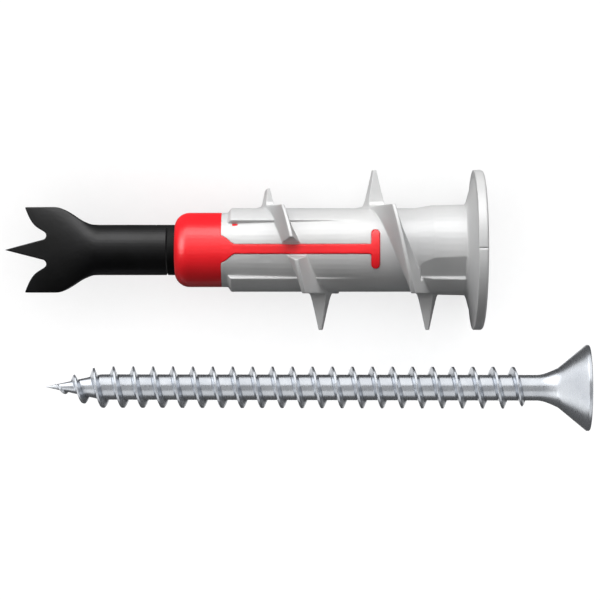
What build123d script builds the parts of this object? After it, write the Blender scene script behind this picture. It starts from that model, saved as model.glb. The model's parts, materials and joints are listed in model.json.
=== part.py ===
from build123d import *
import math
import os

# Self-drilling plasterboard anchor in two moulded components, with a fold-away
# drill tip, and the countersunk chipboard screw that goes into it.
#
# Frame (mm): the origin is the centre of the flange's outer face, on the bore axis.
# +X points out of the wall along the bore, so the drill tip is at negative X.
# +Z points up, away from the surface both parts lie on. All angles around the
# X axis are measured from +Y towards +Z, the sense of a right-hand thread along +X.

# ---------------------------------------------------------------- driving dimensions
# sleeve
bore_r = 1.70                    # pilot bore the screw cuts its thread into
spigot_r = 2.60                  # reduced front end that carries the red collar
spigot_front_x = -26.30
collar_seat_x = -24.12           # shoulder between sleeve and collar
sleeve_front_r = 3.44
sleeve_r = 3.87
leg_panel_start_x = -23.55       # raised side panels of the slotted zone
leg_panel_full_x = -23.25
leg_panel_end_x = -11.34
leg_panel_span = 93.0            # degrees each raised panel covers
shank_ramp_x = -6.30
shank_full_x = -4.70
shank_r = 4.20

# flange
flange_r = 7.40
flange_rim_x = -0.92             # underside of the rim
flange_root_x = -1.66            # where the underside meets the shank
flange_edge_x = -0.20            # start of the rounded outer edge
flange_face_r = 7.08
seam_nick_w = 0.13               # moulding seam across the rim, front and back
seam_nick_depth = 0.12

# head recess of the sleeve
sink_r = 4.20                    # countersink for the screw head
sink_inner_r = 2.60
sink_depth = 1.60
sleeve_slot_w = 1.10             # cross recess, bit size 2
sleeve_slot_r = 3.05
sleeve_slot_foot_r = 1.75
sleeve_slot_depth = 5.00

# coarse board thread
board_pitch = 9.86
board_crest_r = 7.40
board_root_w = 1.60              # flight width where it leaves the sleeve
board_crest_w = 0.30
board_top_x = -10.05             # a crest passes +Y here
board_start_turns = -1.25        # flight start, in turns from that crest
board_grow_turns = 0.50          # length of the run-in
board_steps = 18                 # sections per turn
board_sections = 39
lobe_half = 4.02                 # the front and back lobes of the flight end at this |Y|
fin_root_half = 0.62             # half thickness in Z of the fins at the top and bottom
fin_crest_half = 0.34
notch_half = 0.60                # gap in the flight above each red arm
notch_flare = 0.105              # extra half-width per mm of height

# wedge pockets in the shank
pocket_front_x = -5.95
pocket_rear_x = -1.75

# collar with its two T-shaped arms
collar_front_x = -28.50
collar_round = 1.40
ring_seat_r = 2.70               # recess for the black ring's flange
ring_seat_x = -27.30
neck_r = 2.33                    # black ring neck and drill-tip stem
arm_inner_r = 1.90
arm_half = 0.43
arm_proud = 0.07
bar_x = -10.02                   # centre of the T's cross bar
bar_w = 0.77
bar_len = 3.58
bar_inner_r = 2.90
tongue_w = 0.30
tongue_angle = 48.6
tongue_end_x = -22.60

# black ring, hinge strap and drill tip
ring_bore_r = 1.90
hinge_x = -29.16                 # fold line, on the stem's +Y side
hinge_gap = 0.08
strap_half_len = 1.00
strap_half_w = 1.20
strap_t = 0.40
tip_x = -44.25
blade_start_x = -35.50

# chipboard screw
screw_len = 51.58
screw_r = 2.00
screw_core_r = 1.21
screw_pitch = 1.893
screw_crest_s = 6.54             # a crest passes +Y this far from the point
screw_root_w = 0.72
screw_crest_w = 0.07
screw_steps = 12
point_len = 5.40
thread_start_s = 0.90
thread_end_s = 45.85
thread_fade = 0.80
flare_start_s = 46.60            # the neck opens out towards the head
seat_start_s = 48.60             # countersunk cone of the head
flare_r = 1.86
head_r = 4.05
head_rim = 0.33
screw_slot_w = 1.15              # cross recess, bit size 2
screw_slot_r = 2.25
screw_slot_depth = 2.60

# where the screw lies beside the anchor
floor_z = -flange_r
screw_point_x = -41.17
screw_y = -12.90
toe_crest_s = screw_crest_s - 0.25 * screw_pitch    # crest that touches the floor


# ---------------------------------------------------------------- helpers
def turned(points, arc=360.0, start=0.0):
    """Solid of revolution about X from (x, r) points, beginning at angle start."""
    face = make_face(Polyline([(x, r, 0) for x, r in points], close=True))
    return Rot(start, 0, 0) * revolve(face, axis=Axis.X, revolution_arc=arc)


def tube(x0, x1, r_out, r_in=0.0):
    """Cylinder or tube along X."""
    return turned([(x0, r_in), (x0, r_out), (x1, r_out), (x1, r_in)])


def block(x0, x1, y0, y1, z0, z1):
    """Box given by its limits."""
    centre = Pos((x0 + x1) / 2, (y0 + y1) / 2, (z0 + z1) / 2)
    return centre * Box(x1 - x0, y1 - y0, z1 - z0)


def prism(points_yz, x0, x1):
    """Straight prism along X with a section given as (y, z) points."""
    face = make_face(Polyline([(x0, y, z) for y, z in points_yz], close=True))
    return extrude(face, amount=x1 - x0, dir=(1, 0, 0))


def flight_section(x, turn, r_in, r_out, w_in, w_out):
    """Trapezoid standing on the axis at one turn position of a thread flight."""
    c = math.cos(2 * math.pi * turn)
    s = math.sin(2 * math.pi * turn)
    return Wire.make_polygon([
        (x - w_in / 2, r_in * c, r_in * s),
        (x - w_out / 2, r_out * c, r_out * s),
        (x + w_out / 2, r_out * c, r_out * s),
        (x + w_in / 2, r_in * c, r_in * s),
    ], close=True)


def cross_recess(face_x, width, reach, foot, depth):
    """Four tapering slots of a cross recess cut down from face_x along -X."""
    arm = make_face(Polyline([
        (face_x + 0.5, -reach), (face_x + 0.5, reach), (face_x, reach),
        (face_x - depth, foot), (face_x - depth, -foot), (face_x, -reach),
    ], close=True))
    arm = Pos(0, 0, -width / 2) * extrude(arm, amount=width, dir=(0, 0, 1))
    return arm + Rot(90, 0, 0) * arm


def both_sides(shape):
    """The shape and its copy half a turn round the bore."""
    return [shape, Rot(180, 0, 0) * shape]


# ---------------------------------------------------------------- sleeve
def sleeve_skin(offset=0.0):
    """Outer surface of the sleeve under the panels, thread and flange."""
    return turned([
        (collar_seat_x, 0), (collar_seat_x, sleeve_front_r),
        (leg_panel_full_x, sleeve_front_r + offset), (leg_panel_end_x, sleeve_r + offset),
        (shank_ramp_x, sleeve_r + offset), (shank_full_x, shank_r - 0.06 + offset),
        (flange_root_x, shank_r + offset), (flange_root_x, 0),
    ])


def flange():
    """Flange with a coned underside and a rounded outer edge."""
    return turned([
        (flange_root_x, 0), (flange_root_x, shank_r),
        (flange_root_x + 0.05, shank_r + 0.14), (flange_root_x + 0.17, shank_r + 0.38),
        (flange_rim_x - 0.02, 6.60), (flange_rim_x, 6.62), (flange_rim_x, flange_r),
        (flange_edge_x, flange_r), (flange_edge_x + 0.10, flange_r - 0.05),
        (flange_edge_x + 0.17, flange_r - 0.16), (0, flange_face_r), (0, 0),
    ])


def raised_panels():
    """The two side panels between the red arms, a little proud of the sleeve."""
    half = leg_panel_span / 2
    panel = turned([
        (leg_panel_start_x, 2.9), (leg_panel_start_x, sleeve_front_r),
        (leg_panel_full_x, sleeve_r), (leg_panel_end_x, sleeve_r), (leg_panel_end_x, 2.9),
    ], arc=leg_panel_span, start=-half)
    return both_sides(panel)


def board_flight():
    """Right-hand coarse flight, growing in at the front and running into the flange."""
    sections = []
    for i in range(board_sections + 1):
        turn = board_start_turns + i / board_steps
        grown = min(1.0, (turn - board_start_turns) / board_grow_turns)
        grown = max(grown, 0.03)
        blend_in = max(0.0, turn - 0.80) * 1.8
        crest_r = sleeve_r + (board_crest_r - sleeve_r) * grown - blend_in
        root_w = board_root_w * grown
        crest_w = min(board_crest_w * (0.6 + 0.4 * grown), 0.8 * root_w)
        slope = (root_w - crest_w) / 2 / (crest_r - sleeve_r)
        foot_r = sleeve_front_r - 0.35
        foot_w = root_w + 2 * slope * (sleeve_r - foot_r)
        foot_w = min(foot_w, root_w + 0.35)
        x = board_top_x + board_pitch * turn
        sections.append(flight_section(x, turn, foot_r, crest_r, foot_w, crest_w))
    return Solid.make_loft(sections)


def flight_envelope():
    """Outline of the flight along the bore: wide front and back lobes, thin fins between.

    The lobes stop where a straight-pull mould would begin to be undercut. Only the
    fins on the mould's parting plane stand to full height at the top and bottom.
    """
    reach = board_crest_r + 1
    quarter = [
        (lobe_half, reach), (lobe_half, fin_root_half + 0.45),
        (lobe_half + 0.12, fin_root_half + 0.14), (lobe_half + 0.42, fin_root_half),
        (board_crest_r, fin_crest_half), (reach, fin_crest_half),
    ]
    right = quarter + [(y, -z) for y, z in reversed(quarter)]
    left = [(-y, -z) for y, z in right]
    return prism(right + left, collar_seat_x, 0)


def flight_notches():
    """Wedges that open the flight above the red arms, front and back."""
    low = 2.6
    high = 9.0
    half_low = notch_half + notch_flare * (low - sleeve_front_r)
    half_high = notch_half + notch_flare * (high - sleeve_front_r)
    wedge = prism([(-half_low, low), (-half_high, high), (half_high, high), (half_low, low)],
                  collar_seat_x - 1, bar_x + bar_w / 2)
    return both_sides(wedge)


def shank_pockets():
    """Wedge-shaped recesses that let the shank grip the board behind the flange."""
    wedge = prism([(-0.52, 4.24), (-2.45, 2.98), (-2.85, 3.20), (-3.20, 5.0), (-0.52, 5.0)],
                  pocket_front_x, pocket_rear_x)
    return both_sides(wedge)


def arm_strip_outline():
    """Plan of one red arm's funnel root and strip."""
    half_points = [
        (collar_seat_x, 1.28), (collar_seat_x + 0.49, 1.01),
        (collar_seat_x + 0.88, 0.66), (collar_seat_x + 1.22, arm_half), (bar_x, arm_half),
    ]
    mirrored = [(x, -y) for x, y in reversed(half_points)]
    return make_face(Polyline(half_points + mirrored, close=True))


def arm_bar_outline():
    """Plan of the T's cross bar with rounded ends and small fillets to the strip."""
    bar = Pos(bar_x, 0) * SlotOverall(bar_len, bar_w, rotation=90)
    stub = Pos(bar_x - 0.5, 0) * Rectangle(1.0, 2 * arm_half)
    outline = bar + stub
    corner_x = bar_x - bar_w / 2
    corners = [v for v in outline.vertices()
               if abs(v.X - corner_x) < 0.01 and abs(abs(v.Y) - arm_half) < 0.01]
    return fillet(corners, 0.18)


def arm_slot():
    """Opening one red arm fills in the sleeve: through slot plus blind T pocket."""
    strip = extrude(arm_strip_outline(), amount=6, dir=(0, 0, 1))
    bar = extrude(arm_bar_outline(), amount=6, dir=(0, 0, 1))
    bar = bar - tube(bar_x - 2, bar_x + 2, bar_inner_r)
    return strip + bar


def tongue(r0, r1, x0):
    """Small block at the front corner of a seam, used for the tongue and its window."""
    shape = block(x0, tongue_end_x, r0, r1, -tongue_w / 2, tongue_w / 2)
    return Rot(tongue_angle, 0, 0) * shape


def anchor_sleeve():
    """Grey moulded sleeve: slotted legs, shank, flange, board thread and recess."""
    body = sleeve_skin() + flange()
    body = body + tube(spigot_front_x, collar_seat_x, spigot_r)
    for panel in raised_panels():
        body = body + panel
    flight = board_flight() & flight_envelope()
    for notch in flight_notches():
        flight = flight - notch
    body = body + flight
    for cut in both_sides(arm_slot()):
        body = body - cut
    for cut in both_sides(tongue(2.70, 3.38, collar_seat_x)):
        body = body - cut
    for cut in both_sides(tongue(3.30, 4.30, tongue_end_x - 0.50)):
        body = body - cut
    for cut in shank_pockets():
        body = body - cut
    nick = block(flange_rim_x - 0.5, 0.5, -seam_nick_w / 2, seam_nick_w / 2,
                 flange_r - seam_nick_depth, flange_r + 1)
    for cut in both_sides(nick):
        body = body - cut
    body = body - tube(spigot_front_x - 1, 1, bore_r)
    body = body - turned([(-sink_depth, 0), (-sink_depth, sink_inner_r), (0, sink_r),
                          (1, sink_r + 1), (1, 0)])
    recess = cross_recess(0, sleeve_slot_w, sleeve_slot_r, sleeve_slot_foot_r,
                          sleeve_slot_depth)
    return body - recess


# ---------------------------------------------------------------- red collar
def nose_collar():
    """Red collar over the spigot, with two T-shaped arms locked into the sleeve."""
    body = tube(collar_front_x, collar_seat_x, sleeve_front_r)
    front_edge = body.edges().filter_by(GeomType.CIRCLE).sort_by(Axis.X)[0]
    body = fillet(front_edge, collar_round)
    body = body - tube(spigot_front_x, collar_seat_x, spigot_r)
    body = body - tube(ring_seat_x, spigot_front_x, ring_seat_r)
    body = body - tube(collar_front_x - 1, ring_seat_x, neck_r)
    skin = sleeve_skin(arm_proud)
    arm = (arm_slot() & skin) - tube(collar_seat_x - 1, 0, arm_inner_r)
    for shape in both_sides(arm):
        body = body + shape
    for shape in both_sides(tongue(2.70, 3.38, collar_seat_x)):
        body = body + shape
    return body


# ---------------------------------------------------------------- black tip parts
def strap_block():
    """Room taken by the living hinge, flush with the stem's +Y side."""
    slab = block(hinge_x - strap_half_len, hinge_x + strap_half_len,
                 neck_r - strap_t, neck_r + 0.5, -strap_half_w, strap_half_w)
    return slab & tube(hinge_x - 2, hinge_x + 2, neck_r)


def tip_socket():
    """Black ring held in the collar, with the neck the drill tip folds on."""
    body = tube(ring_seat_x, spigot_front_x, ring_seat_r)
    body = body + tube(hinge_x + hinge_gap / 2, ring_seat_x, neck_r)
    body = body - tube(hinge_x - 1, spigot_front_x + 1, ring_bore_r)
    return body - strap_block()


def tip_hinge_strap():
    """Thin moulded strap that joins the drill tip to its ring and bends."""
    return strap_block()


def blade_outline():
    """Plan of the two-winged blade with its centre point."""
    point = Line((tip_x, 0), (-40.62, 0.92))
    notch = Spline([(-40.62, 0.92), (-40.31, 1.14), (-40.28, 1.42), (-40.66, 1.76),
                    (-41.40, 2.27), (-41.88, 2.95), (-42.32, 3.95)])
    edge = Line((-42.32, 3.95), (-39.60, 3.95))
    shoulder = Spline([(-39.60, 3.95), (-38.75, 3.76), (-37.90, 3.27), (-36.90, 2.64),
                       (-36.15, 2.36), (-35.85, neck_r)], tangents=[(1, 0), (1, 0)])
    root = Line((-35.85, neck_r), (blade_start_x, neck_r))
    close_off = Line((blade_start_x, neck_r), (blade_start_x, 0))
    base = Line((blade_start_x, 0), (tip_x, 0))
    half = make_face([point, notch, edge, shoulder, root, close_off, base])
    return half + mirror(half, about=Plane.XZ)


def blade_envelope():
    """Crowned body the blade is cut from: round at the stem, thin at the points."""
    stations = [
        (blade_start_x, neck_r, neck_r), (-36.00, 2.50, 2.26), (-37.00, 3.30, 2.06),
        (-38.40, 4.30, 1.72), (-40.20, 4.90, 1.30), (-42.40, 5.20, 0.80),
        (-44.20, 5.30, 0.16),
    ]
    sections = []
    for x, half_w, half_t in stations:
        # the ellipse's own axes are turned so that its x runs along Y
        plane = Plane(origin=(x, 0, 0), x_dir=(0, 1, 0), z_dir=(1, 0, 0))
        sections.append(plane * Ellipse(half_w, half_t))
    return loft(sections)


def drill_tip():
    """Black drill tip: stem, crowned blade and a dimple behind for the screw point."""
    blade = extrude(blade_outline(), amount=3, both=True) & blade_envelope()
    rear_x = hinge_x - hinge_gap / 2
    body = tube(blade_start_x, rear_x, neck_r) + blade
    body = body - turned([(rear_x - 1.6, 0), (rear_x, 1.5), (rear_x + 1, 1.5), (rear_x + 1, 0)])
    return body - strap_block()


# ---------------------------------------------------------------- screw
def core_radius(s):
    """Core of the screw at distance s from the point."""
    return screw_core_r * min(1.0, s / point_len)


def crest_radius(s):
    """Crest of the thread: grows over the point and fades out before the head."""
    table = [(thread_start_s, 0.26), (1.7, 0.61), (2.5, 1.02), (3.3, 1.48), (4.3, 1.76),
             (5.2, screw_r)]
    if s >= thread_end_s - thread_fade:
        fade = min(1.0, (s - thread_end_s + thread_fade) / thread_fade)
        return screw_r - (screw_r - screw_core_r + 0.05) * fade
    if s >= table[-1][0]:
        return screw_r
    for (s0, r0), (s1, r1) in zip(table, table[1:]):
        if s <= s1:
            return r0 + (r1 - r0) * (s - s0) / (s1 - s0)
    return screw_r


def screw_flight(start_s, end_s):
    """One stretch of the right-hand wood thread, from start_s to end_s."""
    count = round((end_s - start_s) / screw_pitch * screw_steps)
    sections = []
    for i in range(count + 1):
        s = start_s + (end_s - start_s) * i / count
        turn = (s - screw_crest_s) / screw_pitch
        core = core_radius(s)
        crest = crest_radius(s)
        full = min(1.0, max(crest - core, 0.02) / (screw_r - screw_core_r))
        root_w = screw_root_w * (0.25 + 0.75 * full)
        crest_w = screw_crest_w * (0.6 + 0.4 * full)
        foot = max(core * 0.8, core - 0.2)
        sections.append(flight_section(s, turn, foot, crest, root_w * 1.15, crest_w))
    return Solid.make_loft(sections)


def screw_shape():
    """Chipboard screw along +X with its point at the local origin."""
    rim_s = screw_len - head_rim
    body = turned([
        (0, 0), (0.02, 0.015), (point_len, screw_core_r), (flare_start_s, screw_core_r),
        (flare_start_s + 0.60, screw_core_r + 0.11), (seat_start_s - 0.40, flare_r - 0.17),
        (seat_start_s, flare_r), (rim_s, head_r), (screw_len - 0.06, head_r),
        (screw_len, head_r - 0.10), (screw_len, 0),
    ])
    fade_s = thread_end_s - thread_fade
    stretches = ((point_len, fade_s), (thread_start_s, point_len), (fade_s, thread_end_s))
    for start_s, end_s in stretches:
        body = body + screw_flight(start_s, end_s)
    recess = cross_recess(screw_len, screw_slot_w, screw_slot_r, 0.75, screw_slot_depth)
    ticks = cross_recess(screw_len, 0.35, 1.75, 0.60, 1.40)
    body = body - recess
    body = body - Rot(45, 0, 0) * ticks
    return body


def screw_tilt():
    """Angle at which the screw rests on its head rim and on a crest near the point."""
    run = screw_len - head_rim - toe_crest_s
    return math.atan2(head_r - screw_r, run)


def screw():
    """The screw lying on the floor beside the anchor."""
    tilt = screw_tilt()
    rim_s = screw_len - head_rim
    point_z = floor_z + head_r * math.cos(tilt) - rim_s * math.sin(tilt)
    return Pos(screw_point_x, screw_y, point_z) * Rot(0, -math.degrees(tilt), 0) * screw_shape()


# ---------------------------------------------------------------- write the pieces
PIECES = {
    "anchor_sleeve": anchor_sleeve,
    "nose_collar": nose_collar,
    "tip_socket": tip_socket,
    "tip_hinge_strap": tip_hinge_strap,
    "drill_tip": drill_tip,
    "screw": screw,
}

os.makedirs("parts", exist_ok=True)
for name, make in PIECES.items():
    shape = make()
    solids = shape.solids()
    solid = solids[0] if len(solids) == 1 else Compound(children=list(solids))
    print(name, "solids", len(solids), "volume", round(shape.volume, 2),
          "valid", solid.is_valid)
    export_step(solid, os.path.join("parts", name + ".step"))
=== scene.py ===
import json
import math

import bmesh
import bpy
from mathutils import Matrix, Vector


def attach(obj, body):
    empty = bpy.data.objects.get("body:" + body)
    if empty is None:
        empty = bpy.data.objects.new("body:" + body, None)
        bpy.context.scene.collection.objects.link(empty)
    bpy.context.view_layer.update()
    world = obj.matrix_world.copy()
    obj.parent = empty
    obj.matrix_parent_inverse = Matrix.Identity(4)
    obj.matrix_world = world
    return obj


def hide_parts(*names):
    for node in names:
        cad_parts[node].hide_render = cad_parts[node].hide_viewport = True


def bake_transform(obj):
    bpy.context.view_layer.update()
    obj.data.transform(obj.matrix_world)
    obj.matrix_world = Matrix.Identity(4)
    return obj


# Two-component plasterboard anchor with its screw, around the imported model.
# Lengths below are millimetres, and MM turns them into the metres Blender works in.
MM = 0.001

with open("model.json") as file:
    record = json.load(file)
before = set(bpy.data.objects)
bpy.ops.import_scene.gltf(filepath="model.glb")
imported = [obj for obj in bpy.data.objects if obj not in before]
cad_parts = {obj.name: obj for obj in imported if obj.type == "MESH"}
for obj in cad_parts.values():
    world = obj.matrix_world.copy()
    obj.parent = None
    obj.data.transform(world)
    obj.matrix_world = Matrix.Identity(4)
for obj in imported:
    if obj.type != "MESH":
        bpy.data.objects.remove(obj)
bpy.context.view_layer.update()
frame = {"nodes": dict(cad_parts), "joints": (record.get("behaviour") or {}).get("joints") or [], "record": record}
nodes = frame["nodes"]
scene = bpy.context.scene
scene.view_settings.view_transform = "Standard"
scene.view_settings.look = "None"

# ------------------------------------------------------------------ driving values
FLANGE_R = 7.4
FLOOR_Z = -FLANGE_R              # both parts lie on this plane

# moulded copies: body, slot, finish, voxel size, smoothing passes and share of faces kept
MOULDED = {
    "anchor_sleeve": ("anchor", "sleeve_nylon", "sleeve_nylon", 0.060, 5, 0.20),
    "nose_collar": ("anchor", "collar_nylon", "collar_nylon", 0.055, 4, 0.45),
    # the ring takes the tip's black painted darker, as painted shade beside the collar
    "tip_socket": ("anchor", "tip_nylon", "shaded_socket_nylon", 0.060, 4, 0.60),
    "drill_tip": ("drill_tip", "tip_nylon", "tip_nylon", 0.060, 4, 0.50),
}
MOULD_WELD = 0.0001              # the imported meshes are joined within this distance
STRAP_VOXEL = 0.050
STRAP_PASSES = 2

# screw, along its own axis from the point
SCREW_LEN = 51.58
SCREW_R = 2.00
CORE_R = 1.21
PITCH = 1.893
CREST_S = 6.54                   # a crest of the thread passes the +Y side here
POINT_LEN = 5.40
THREAD_START_S = 0.90
THREAD_END_S = 45.85
THREAD_FADE = 0.80               # length over which the crest sinks into the core
POINT_S = 0.03                   # first ring of the grid, just behind the very point
ROOT_HALF = 0.36                 # half width of the thread where it leaves the core
CREST_HALF = 0.070
ROOT_FILLET = 0.07               # as a share of the thread's height
# radius of the crest over the point, as (s, r)
CREST_GROWTH = ((0.9, 0.26), (1.7, 0.61), (2.5, 1.02), (3.3, 1.48), (4.3, 1.76), (5.2, 2.00))
THREAD_GRID_END_S = 46.60        # the helical grid ends and the turned neck begins
SPARE_NECK = 0.5                 # stub that keeps the edge rounding off that joint
SEAT_START_S = 48.60             # countersunk cone of the head
FLARE_R = 1.86
HEAD_R = 4.05
HEAD_RIM = 0.33
HEAD_STEPS = 8
FACE_INNER_R = 2.9               # last ring of the flat face, outside the recess
EDGE_SOFTENING = 0.05            # bevel on the rim and the recess
# recess: half width, reach at the face, reach at the foot and depth of the blades
CROSS_BLADE = (0.56, 2.25, 0.75, 2.60)
TICK_BLADE = (0.17, 1.75, 0.60, 1.40)
RECESS_FLARE = 0.16              # how much wider the cutter is above the face
ROWS_PER_TURN = 72
SCREW_WELD = 0.0004              # the grid, the point and the head are joined within this

# stage
CAMERA_AT = (-16.9, -4.63, 200.0)
FLOOR_HALF_M = 1.5
STAGE_CENTRE = Vector((-0.017, -0.005, 0))     # metres; the soft boxes face this place
WORLD_STRENGTH = 0.08


# ------------------------------------------------------------------ mesh helpers
def new_piece(name, mesh):
    piece = bpy.data.objects.new(name, mesh)
    scene.collection.objects.link(piece)
    return piece


def baked(piece):
    """Replace a piece's mesh by its evaluated one, so that no modifier is left on it."""
    graph = bpy.context.evaluated_depsgraph_get()
    mesh = bpy.data.meshes.new_from_object(piece.evaluated_get(graph))
    piece.modifiers.clear()
    piece.data = mesh


def shade_smooth(mesh):
    mesh.polygons.foreach_set("use_smooth", [True] * len(mesh.polygons))
    mesh.update()


def remeshed(node, voxel, passes):
    """Voxel copy of a CAD node with softened edges, its modifiers not yet applied."""
    piece = new_piece(node + "_moulded", nodes[node].data.copy())
    weld = piece.modifiers.new("weld", "WELD")
    weld.merge_threshold = MOULD_WELD * MM
    remesh = piece.modifiers.new("remesh", "REMESH")
    remesh.mode = "VOXEL"
    remesh.voxel_size = voxel * MM
    smooth = piece.modifiers.new("smooth", "SMOOTH")
    smooth.factor = 0.5
    smooth.iterations = passes
    return piece


def moulded(node, body, voxel, passes, keep):
    """Copy of a moulded part with the small edge rounds that a mould leaves."""
    piece = remeshed(node, voxel, passes)
    reduce = piece.modifiers.new("reduce", "DECIMATE")
    reduce.ratio = keep
    baked(piece)
    shade_smooth(piece.data)
    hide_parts(node)
    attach(piece, body)
    return piece


def hinge_strap():
    """Dense copy of the living hinge between the ring and the tip, with its place baked into the mesh."""
    piece = remeshed("tip_hinge_strap", STRAP_VOXEL, STRAP_PASSES)
    baked(piece)
    shade_smooth(piece.data)
    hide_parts("tip_hinge_strap")
    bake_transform(piece)
    return piece


# ------------------------------------------------------------------ screw
def core_radius(s):
    return CORE_R * min(1.0, max(s, POINT_S) / POINT_LEN)


def crest_radius(s):
    """Crest of the thread: grows over the point and sinks into the core at the end."""
    fade_from = THREAD_END_S - THREAD_FADE
    if s >= fade_from:
        return SCREW_R - (SCREW_R - CORE_R + 0.05) * min(1.0, (s - fade_from) / THREAD_FADE)
    for (s0, r0), (s1, r1) in zip(CREST_GROWTH, CREST_GROWTH[1:]):
        if s <= s1:
            return r0 + (r1 - r0) * max(0.0, s - s0) / (s1 - s0)
    return SCREW_R


def thread_height(offset, share):
    """Height of the thread, 0 to 1, at a distance from its crest, with a root fillet."""
    root = ROOT_HALF * (0.25 + 0.75 * share)
    crest = CREST_HALF * (0.6 + 0.4 * share)
    rise = (root - abs(offset)) / (root - crest)
    if rise < -ROOT_FILLET:
        return 0.0
    if rise < ROOT_FILLET:
        return (rise + ROOT_FILLET) ** 2 / (4 * ROOT_FILLET)
    crown = 0.15 * max(0.0, rise - 0.9)
    return min(1.0, rise) - crown


def screw_radius(s, offset):
    core = core_radius(s)
    crest = crest_radius(s)
    if s < THREAD_START_S or s > THREAD_END_S or crest <= core:
        return core
    share = min(1.0, (crest - core) / (SCREW_R - CORE_R))
    return core + (crest - core) * thread_height(offset, share)


def thread_columns():
    """Distances from the crest of the columns across one pitch, closer at the crest."""
    half = [0.0, 0.03, 0.06, 0.12, 0.20, 0.28, 0.35, 0.40, 0.45, 0.52, 0.64, 0.80]
    return [-d for d in reversed(half[1:])] + half + [PITCH / 2]


def screw_mesh():
    """Screw along +X from its point to its neck, as one helical grid open at both ends."""
    mesh = bmesh.new()
    columns = thread_columns()
    first = -math.ceil(CREST_S / PITCH) - 1
    last = math.ceil((THREAD_END_S - CREST_S) / PITCH) + 1
    places = [(k, offset) for k in range(first, last) for offset in columns]
    grid = []
    for i in range(ROWS_PER_TURN):
        share = i / ROWS_PER_TURN
        angle = 2 * math.pi * share
        row = []
        for k, offset in places:
            s = CREST_S + PITCH * (k + share) + offset
            s = min(max(s, POINT_S), THREAD_GRID_END_S)
            r = screw_radius(s, offset)
            row.append(mesh.verts.new((s, r * math.cos(angle), r * math.sin(angle))))
        grid.append(row)
    per_turn = len(columns)
    count = len(places)
    for i in range(ROWS_PER_TURN):
        here = grid[i]
        there = grid[(i + 1) % ROWS_PER_TURN]
        shift = 0 if i + 1 < ROWS_PER_TURN else per_turn
        for j in range(count - 1 - shift):
            mesh.faces.new((here[j], here[j + 1], there[j + shift + 1], there[j + shift]))
    bmesh.ops.remove_doubles(mesh, verts=mesh.verts, dist=SCREW_WELD)
    return mesh


def turned_rings(mesh, profile):
    """Add rings of (s, r) to the mesh and join them, returning the first and last ring."""
    rings = []
    for s, r in profile:
        ring = []
        for i in range(ROWS_PER_TURN):
            angle = 2 * math.pi * i / ROWS_PER_TURN
            ring.append(mesh.verts.new((s, r * math.cos(angle), r * math.sin(angle))))
        rings.append(ring)
    for lower, upper in zip(rings, rings[1:]):
        for i in range(ROWS_PER_TURN):
            j = (i + 1) % ROWS_PER_TURN
            mesh.faces.new((lower[i], upper[i], upper[j], lower[j]))
    return rings[0], rings[-1]


def head_profile():
    """Neck, countersunk cone, rolled rim and flat face of the head, as (s, r)."""
    rim_s = SCREW_LEN - HEAD_RIM
    start = THREAD_GRID_END_S
    profile = [(start - SPARE_NECK, CORE_R)]
    for step in range(HEAD_STEPS + 1):
        t = step / HEAD_STEPS
        rise = t * t * (1.6 - 0.6 * t)
        profile.append((start + (SEAT_START_S - start) * t, CORE_R + (FLARE_R - CORE_R) * rise))
    for step in range(1, HEAD_STEPS + 1):
        t = step / HEAD_STEPS
        r = FLARE_R + (HEAD_R - 0.08 - FLARE_R) * t
        profile.append((SEAT_START_S + (rim_s - 0.10 - SEAT_START_S) * t, r))
    rolled_rim = [
        (rim_s - 0.03, HEAD_R - 0.03), (rim_s + 0.03, HEAD_R), (rim_s + 0.20, HEAD_R),
        (SCREW_LEN - 0.05, HEAD_R - 0.03), (SCREW_LEN, HEAD_R - 0.12),
    ]
    face = [(SCREW_LEN, HEAD_R - 0.5), (SCREW_LEN, FACE_INNER_R)]
    return profile + rolled_rim + face


def recess_cutter():
    """Tapered cross and its fine ticks, as four closed blades through the axis."""
    cutter = bmesh.new()
    top = SCREW_LEN + 0.5
    for turn in range(4):
        half, reach, foot, depth = TICK_BLADE if turn % 2 else CROSS_BLADE
        floor_s = SCREW_LEN - depth - 0.02 * turn     # no two blades end in one plane
        outline = [(top, -reach - RECESS_FLARE), (SCREW_LEN, -reach), (floor_s, -foot),
                   (floor_s, foot), (SCREW_LEN, reach), (top, reach + RECESS_FLARE)]
        faces = []
        for side in (-half, half):
            faces.append([cutter.verts.new((s, r, side)) for s, r in outline])
        cutter.faces.new(faces[0])
        cutter.faces.new(list(reversed(faces[1])))
        for i in range(len(outline)):
            j = (i + 1) % len(outline)
            cutter.faces.new((faces[0][j], faces[0][i], faces[1][i], faces[1][j]))
        spin = Matrix.Rotation(math.radians(45 * turn), 4, "X")
        bmesh.ops.transform(cutter, matrix=spin, verts=faces[0] + faces[1])
    bmesh.ops.recalc_face_normals(cutter, faces=cutter.faces)
    return cutter


def to_mesh(source, name):
    mesh = bpy.data.meshes.new(name)
    source.to_mesh(mesh)
    source.free()
    return mesh


def screw_head():
    """Neck, countersunk head and cut recess as a small mesh of its own."""
    source = bmesh.new()
    first, last = turned_rings(source, head_profile())
    source.faces.new(first)
    source.faces.new(last)
    bmesh.ops.recalc_face_normals(source, faces=source.faces)
    piece = new_piece("screw_head", to_mesh(source, "screw_head"))
    cutter = new_piece("screw_recess_cutter", to_mesh(recess_cutter(), "screw_recess_cutter"))
    cut = piece.modifiers.new("recess", "BOOLEAN")
    cut.object = cutter
    cut.operation = "DIFFERENCE"
    cut.solver = "EXACT"
    cut.use_self = True
    soften = piece.modifiers.new("soften", "BEVEL")
    soften.limit_method = "ANGLE"
    soften.angle_limit = math.radians(50)
    soften.width = EDGE_SOFTENING
    soften.segments = 2
    baked(piece)
    bpy.data.objects.remove(cutter)
    head = bmesh.new()
    head.from_mesh(piece.data)
    stub = [v for v in head.verts if v.co.x < THREAD_GRID_END_S - 0.01]
    bmesh.ops.delete(head, geom=stub, context="VERTS")
    bpy.data.objects.remove(piece)
    return to_mesh(head, "screw_head")


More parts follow.
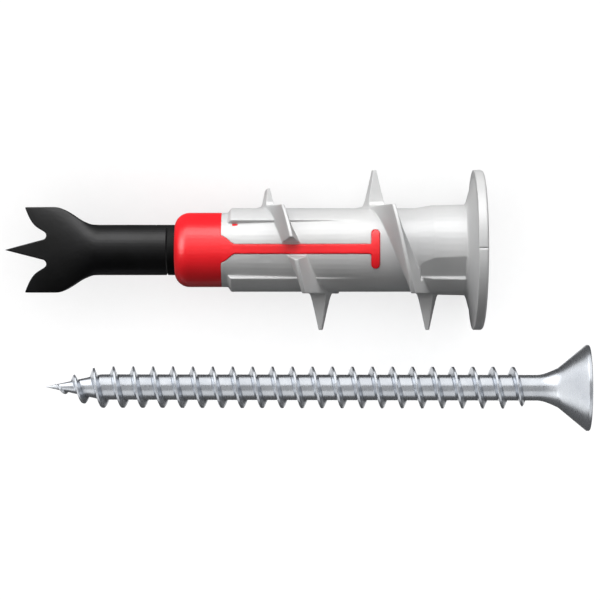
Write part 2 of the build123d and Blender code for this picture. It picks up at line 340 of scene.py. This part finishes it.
def screw_piece():
    """The screw in place on the floor, standing for its CAD node."""
    source = screw_mesh()
    tip = source.verts.new((0.0, 0.0, 0.0))
    mouth = [e for e in source.edges if e.is_boundary and e.verts[0].co.x < POINT_S + 0.01]
    for edge in mouth:
        source.faces.new((edge.verts[0], edge.verts[1], tip))
    source.from_mesh(screw_head())
    bmesh.ops.remove_doubles(source, verts=source.verts, dist=SCREW_WELD)
    bmesh.ops.recalc_face_normals(source, faces=source.faces)
    piece = new_piece("screw_turned", to_mesh(source, "screw_turned"))
    joint = next(j for j in frame["joints"] if j["name"] == "screw_turn")
    tilt = Vector(joint["axis"]).to_track_quat("X", "Z").to_matrix().to_4x4()
    place = Matrix.Translation(Vector(joint["pos_m"])) @ tilt @ Matrix.Scale(MM, 4)
    piece.data.transform(place)
    shade_smooth(piece.data)
    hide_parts("screw")
    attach(piece, "screw")
    return piece


# ------------------------------------------------------------------ materials
class Nodes:
    """Small helper that adds shader nodes and joins them."""

    def __init__(self, name):
        self.material = bpy.data.materials.new(name)
        self.material.use_nodes = True
        self.tree = self.material.node_tree
        self.bsdf = self.tree.nodes["Principled BSDF"]
        self.position = self.tree.nodes.new("ShaderNodeTexCoord").outputs["Object"]

    def add(self, kind, **inputs):
        node = self.tree.nodes.new(kind)
        for key, value in inputs.items():
            self.put(node, key.replace("_", " "), value)
        return node

    def put(self, node, key, value):
        if isinstance(value, bpy.types.NodeSocket):
            self.tree.links.new(value, node.inputs[key])
        else:
            node.inputs[key].default_value = value

    def set(self, key, value):
        self.put(self.bsdf, key, value)

    def noise(self, scale, detail=3.0, roughness=0.5, stretch=(1, 1, 1)):
        """Noise in object space; scale is in features per metre."""
        place = self.add("ShaderNodeMapping", Vector=self.position, Scale=stretch)
        noise = self.add("ShaderNodeTexNoise", Vector=place.outputs["Vector"], Scale=scale,
                         Detail=detail, Roughness=roughness)
        return noise.outputs["Fac"]

    def ramp(self, fac, stops):
        """Colour ramp of (position, colour) stops."""
        node = self.add("ShaderNodeValToRGB", Fac=fac)
        elements = node.color_ramp.elements
        while len(elements) < len(stops):
            elements.new(0.5)
        for element, (place, colour) in zip(elements, stops):
            element.position = place
            element.color = (*colour, 1.0)
        return node.outputs["Color"]

    def span(self, fac, low, high):
        """Map 0 to 1 onto low to high."""
        node = self.add("ShaderNodeMapRange", Value=fac)
        node.inputs["To Min"].default_value = low
        node.inputs["To Max"].default_value = high
        return node.outputs["Result"]

    def mix(self, fac, a, b, mode="MIX"):
        """Colour mix. The node's sockets: 0 is the factor, 6 and 7 the colours, 2 the result."""
        node = self.tree.nodes.new("ShaderNodeMix")
        node.data_type = "RGBA"
        node.blend_type = mode
        for key, value in ((0, fac), (6, a), (7, b)):
            if isinstance(value, bpy.types.NodeSocket):
                self.tree.links.new(value, node.inputs[key])
            elif key == 0:
                node.inputs[key].default_value = value
            else:
                node.inputs[key].default_value = (*value, 1.0)
        return node.outputs[2]

    def bump(self, height, strength, distance):
        node = self.add("ShaderNodeBump", Height=height, Strength=strength,
                        Distance=distance * MM)
        self.set("Normal", node.outputs["Normal"])


def sleeve_nylon():
    """Natural grey nylon: slightly translucent, mottled, with a fine spark-eroded grain."""
    n = Nodes("sleeve_nylon")
    cloud = n.noise(160.0, 4.0, 0.55)
    base = n.ramp(cloud, [(0.30, (0.63, 0.635, 0.64)), (0.70, (0.71, 0.71, 0.705))])
    n.set("Base Color", base)
    flow = n.noise(500.0, 2.0, 0.5, (0.4, 1, 1))
    n.set("Roughness", n.span(flow, 0.36, 0.46))
    grain = n.noise(9000.0, 2.0, 0.6)
    n.bump(grain, 0.15, 0.006)
    n.set("Subsurface Weight", 0.12)
    n.set("Subsurface Radius", (0.6, 0.6, 0.6))
    n.set("Subsurface Scale", 0.6 * MM)
    n.set("IOR", 1.53)
    return n.material


def collar_nylon():
    """Bright red nylon with a polished mould finish and faint flow lines."""
    n = Nodes("collar_nylon")
    cloud = n.noise(220.0, 3.0)
    base = n.ramp(cloud, [(0.30, (0.80, 0.010, 0.017)), (0.70, (0.90, 0.016, 0.024))])
    n.set("Base Color", base)
    flow = n.noise(600.0, 2.0, 0.5, (0.4, 1, 1))
    n.set("Roughness", n.span(flow, 0.26, 0.33))
    n.set("Specular IOR Level", 0.40)
    grain = n.noise(9000.0, 2.0)
    n.bump(grain, 0.10, 0.004)
    n.set("Subsurface Weight", 0.08)
    n.set("Subsurface Radius", (0.8, 0.2, 0.2))
    n.set("Subsurface Scale", 0.5 * MM)
    return n.material


def tip_nylon():
    """Black glass-filled nylon: satin, slightly cloudy and finely pitted."""
    n = Nodes("tip_nylon")
    cloud = n.noise(420.0, 4.0, 0.6)
    base = n.ramp(cloud, [(0.30, (0.002, 0.002, 0.002)), (0.75, (0.007, 0.007, 0.008))])
    n.set("Base Color", base)
    n.set("Roughness", n.span(n.noise(900.0, 3.0), 0.38, 0.52))
    n.bump(n.noise(8000.0, 3.0, 0.7), 0.30, 0.010)
    n.set("Specular IOR Level", 0.22)
    return n.material


def shaded_socket_nylon():
    """Softer black nylon of the ring inside the collar: duller than the tip, and painted darker than the tip as
    painted shade beside the collar.
    """
    n = Nodes("shaded_socket_nylon")
    # painted shade: a near-black colour darker than the tip's, standing for the shade beside the collar
    base = n.ramp(n.noise(700.0, 3.0), [(0.3, (0.001, 0.001, 0.001)), (0.7, (0.003, 0.003, 0.003))])
    n.set("Base Color", base)
    n.set("Roughness", n.span(n.noise(1500.0, 2.0), 0.60, 0.75))
    n.bump(n.noise(8000.0, 3.0), 0.20, 0.008)
    n.set("Specular IOR Level", 0.15)
    return n.material


def zinc_steel():
    """Blue-passivated zinc on rolled steel: bright, slightly cloudy, with fine drag lines and painted shade in the
    hollows of the thread.
    """
    n = Nodes("zinc_steel")
    cloud = n.noise(500.0, 4.0, 0.6)
    base = n.ramp(cloud, [(0.25, (0.60, 0.63, 0.68)), (0.75, (0.78, 0.81, 0.85))])
    # painted shade: where pointiness marks a hollow, such as the thread's roots, the colour is mixed towards a
    # dark blue grey
    edge = n.add("ShaderNodeNewGeometry").outputs["Pointiness"]
    painted_root_shade = n.ramp(edge, [(0.42, (0, 0, 0)), (0.50, (1, 1, 1))])
    n.set("Base Color", n.mix(painted_root_shade, (0.20, 0.215, 0.25), base))
    lines = n.noise(2600.0, 3.0, 0.6, (4.0, 0.4, 0.4))
    n.set("Roughness", n.span(lines, 0.20, 0.36))
    n.bump(lines, 0.25, 0.010)
    n.set("Metallic", 0.92)
    return n.material


def floor_paper():
    """Plain near-white studio paper with a barely visible tooth."""
    n = Nodes("floor_paper")
    tooth = n.noise(700.0, 4.0, 0.6)
    n.set("Base Color", n.ramp(tooth, [(0.0, (0.93, 0.93, 0.93)), (1.0, (0.96, 0.96, 0.96))]))
    n.set("Roughness", 0.95)
    n.set("Specular IOR Level", 0.1)
    return n.material


FINISHES = {
    "sleeve_nylon": sleeve_nylon(),
    "collar_nylon": collar_nylon(),
    "tip_nylon": tip_nylon(),
    "shaded_socket_nylon": shaded_socket_nylon(),
    "zinc_steel": zinc_steel(),
}


def finish(piece, name):
    piece.data.materials.clear()
    piece.data.materials.append(FINISHES[name])


# ------------------------------------------------------------------ pieces
for part in frame["record"]["subparts"]:
    finish(nodes[part["node"]], part["material_slot"])

pieces = []
for node, (body, slot, look, voxel, passes, keep) in MOULDED.items():
    piece = moulded(node, body, voxel, passes, keep)
    finish(piece, look)
    pieces.append(piece)

strap = hinge_strap()
# the strap takes the ring's darker black, its painted shade included
finish(strap, "shaded_socket_nylon")
pieces.append(strap)

screw = screw_piece()
finish(screw, "zinc_steel")
pieces.append(screw)

# ------------------------------------------------------------------ camera
cam_data = bpy.data.cameras.new("camera")
cam_data.sensor_width = 36.0
cam_data.lens = 129.6
cam_data.clip_start = 0.01
cam_data.clip_end = 10.0
camera = bpy.data.objects.new("camera", cam_data)
camera.location = [place * MM for place in CAMERA_AT]
scene.collection.objects.link(camera)
scene.camera = camera

# ------------------------------------------------------------------ floor and light
floor_mesh = bpy.data.meshes.new("floor")
half = FLOOR_HALF_M
corners = [(-half, -half, 0), (half, -half, 0), (half, half, 0), (-half, half, 0)]
floor_mesh.from_pydata(corners, [], [(0, 1, 2, 3)])
floor = new_piece("floor", floor_mesh)
floor.location.z = FLOOR_Z * MM
floor.data.materials.append(floor_paper())
floor.visible_diffuse = False
floor.visible_glossy = False


def card(name, azimuth, lean, distance, size, radiance, receivers, gloss_only=False):
    """Soft box that faces the part from a bearing and a lean off the vertical, in degrees.

    Distance and size, across and up, are in metres. It reaches only the receivers, and
    a gloss_only card shows in reflections without lighting the surface as a whole.
    """
    turn = math.radians(azimuth)
    fall = math.radians(lean)
    outward = Vector((math.sin(fall) * math.cos(turn), math.sin(fall) * math.sin(turn),
                      math.cos(fall)))
    data = bpy.data.lights.new(name, "AREA")
    data.shape = "RECTANGLE"
    data.size, data.size_y = size
    data.energy = radiance * math.pi * size[0] * size[1]
    lamp = bpy.data.objects.new(name, data)
    lamp.location = STAGE_CENTRE + outward * distance
    lamp.rotation_euler = outward.to_track_quat("Z", "Y").to_euler()
    lamp.visible_diffuse = not gloss_only
    scene.collection.objects.link(lamp)
    group = bpy.data.collections.new(name + "_receivers")
    for receiver in receivers:
        group.objects.link(receiver)
    lamp.light_linking.receiver_collection = group
    return lamp


def without_shadow(lamp, blocker):
    """Let only the blocker stop this light."""
    group = bpy.data.collections.new(lamp.name + "_blockers")
    group.objects.link(blocker)
    lamp.light_linking.blocker_collection = group


nylon = [piece for piece in pieces if piece != screw]
collar = [piece for piece in pieces if piece.name.startswith("nose_collar")]
grey_and_black = [piece for piece in nylon if piece not in collar]

for piece in nylon:
    piece.visible_glossy = False         # the screw mirrors the cards, not the anchor

# the nylon: light from the +Y side, with a streak of shine along the upper half
card("key", 90, 57, 0.34, (0.50, 0.18), 4.4, nylon)
card("fill", 90, 10, 0.40, (0.30, 0.30), 0.7, nylon)
card("tip_side", 155, 65, 0.36, (0.30, 0.30), 2.0, nylon)
card("shine", 90, 64, 0.32, (0.50, 0.28), 3.6, grey_and_black, gloss_only=True)
card("collar_key", 100, 42, 0.34, (0.50, 0.30), 1.45, collar)
card("nose_shine", 165, 55, 0.30, (0.20, 0.20), 6.0, collar, gloss_only=True)
# the screw: a bright upper band, a dimmer lower one, and grey between them and below
card("screw_upper", 90, 60, 0.30, (0.90, 0.50), 1.15, [screw])
card("screw_lower", -90, 54, 0.30, (0.90, 0.28), 0.72, [screw])
card("screw_above", -90, 6, 0.32, (0.90, 0.20), 0.32, [screw], gloss_only=True)
card("screw_point_side", 168, 82, 0.34, (1.00, 0.50), 0.95, [screw])
screw_under = card("screw_under", 180, 170, 0.30, (0.16, 0.64), 0.80, [screw], gloss_only=True)
without_shadow(screw_under, screw)
# the flange's face and the screw's drive end
card("end_side", 0, 86, 0.34, (0.60, 0.30), 0.5, pieces)
# the floor: mostly light without shadow, so that it stays near white
card("floor_wash", 90, 0, 0.60, (1.6, 1.6), 0.16, [floor])
floor_lift = card("floor_lift", 90, 0, 0.62, (1.6, 1.6), 1.39, [floor])
without_shadow(floor_lift, floor)

world = bpy.data.worlds.new("world")
scene.world = world
world.use_nodes = True
world.node_tree.nodes["Background"].inputs["Color"].default_value = (1, 1, 1, 1)
world.node_tree.nodes["Background"].inputs["Strength"].default_value = WORLD_STRENGTH
